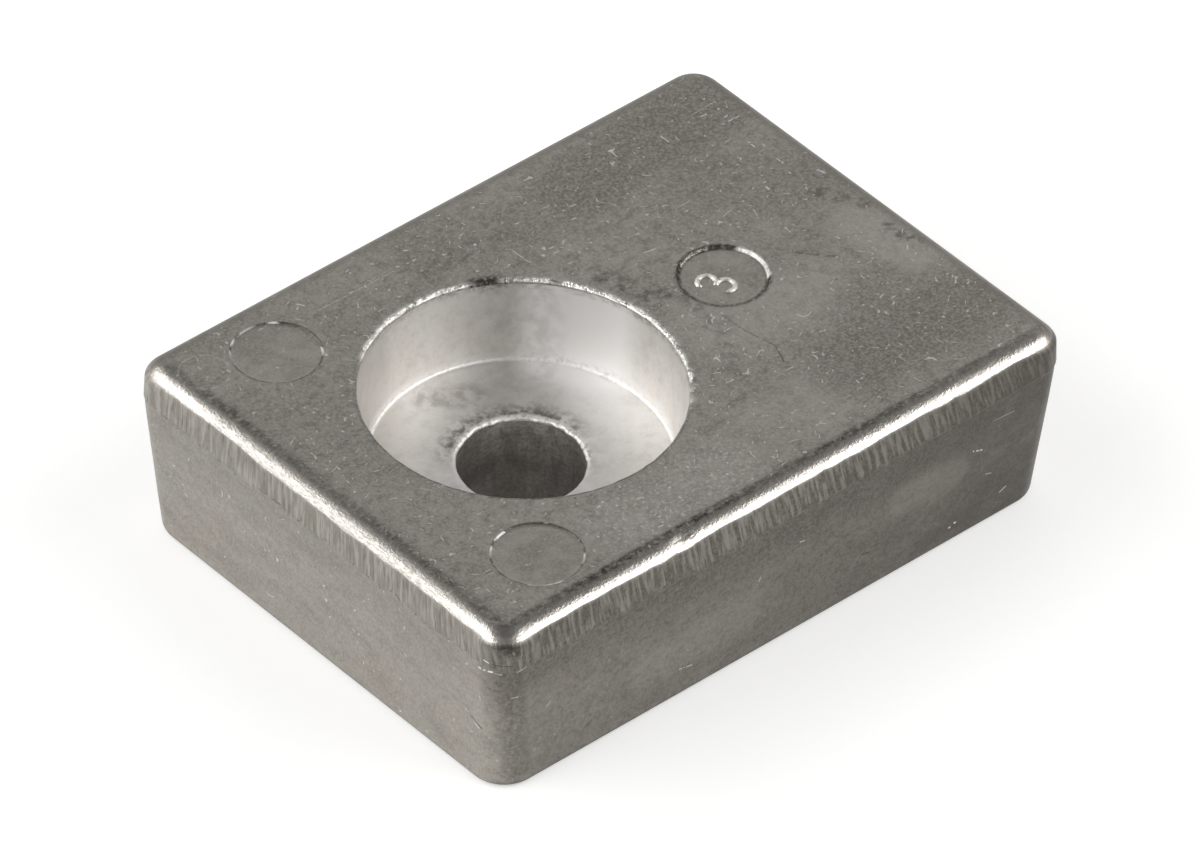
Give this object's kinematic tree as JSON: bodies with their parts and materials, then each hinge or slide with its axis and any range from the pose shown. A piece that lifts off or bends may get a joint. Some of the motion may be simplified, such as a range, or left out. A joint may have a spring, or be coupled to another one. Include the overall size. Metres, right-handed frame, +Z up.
{
  "type": "sacrificial anode",
  "caption": "Small rectangular cast zinc anode block with drafted sides, a rolled top edge and one bolt hole in a round tapered recess that sinks the bolt head.",
  "frame": {"origin": "centre of the block's outline at its foot, the flat face that is bolted against the hull or gearcase", "axes": "+X along the block's length, from the bolt towards the solid end; +Z up through the thickness, towards the face with the bolt-head recess"},
  "size_m": [0.048, 0.036, 0.0135],
  "materials": {
    "zinc_casting": "as-cast zinc alloy, satin grey, with sheared edges and fine handling scratches"
  },
  "bodies": {
    "root": {"anode_block": "zinc_casting"}
  },
  "joints": []
}
